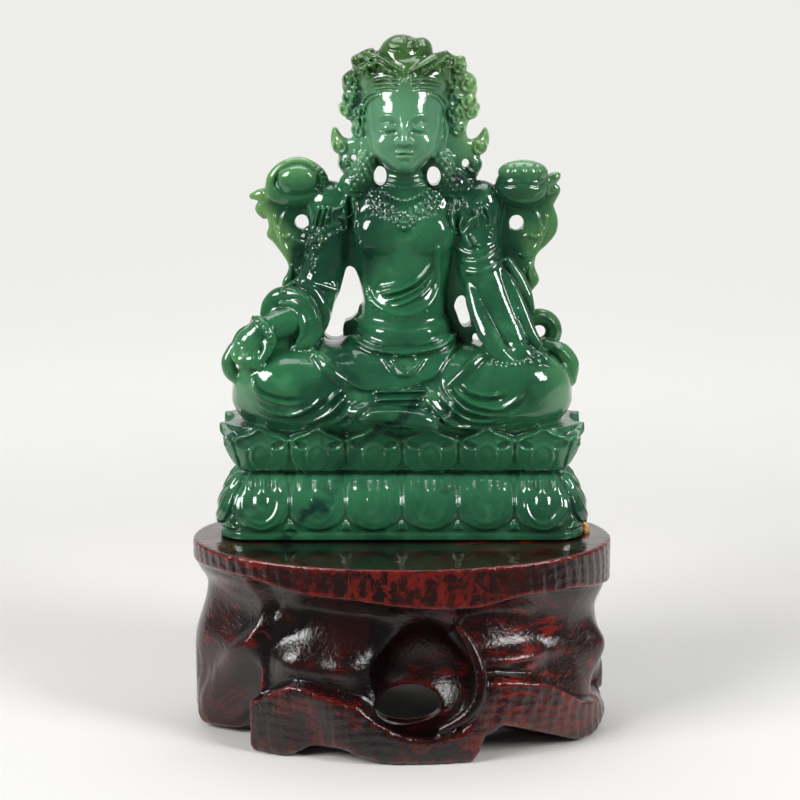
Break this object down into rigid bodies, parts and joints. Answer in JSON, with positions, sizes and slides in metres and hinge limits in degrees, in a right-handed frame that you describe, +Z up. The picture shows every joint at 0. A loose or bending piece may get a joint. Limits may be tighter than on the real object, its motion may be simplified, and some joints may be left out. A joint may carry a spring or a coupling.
{
  "type": "jade figurine on wooden stand",
  "caption": "Carved translucent green stone figurine of a seated crowned figure on a double-lotus throne, glued to an oval root-form lacquered wooden display stand.",
  "frame": {"origin": "centre of the stand's footprint on the table", "axes": "+Z up; the figure faces -Y; +X to the viewer's right seen from the front"},
  "size_m": [0.129, 0.08, 0.212],
  "materials": {
    "jade": "polished",
    "lacquered_wood": "gloss",
    "adhesive": "gloss"
  },
  "bodies": {
    "root": {"jade_carving": "jade", "wood_stand": "lacquered_wood", "adhesive_dabs": "adhesive", "adhesive_bead": "adhesive"}
  },
  "joints": []
}
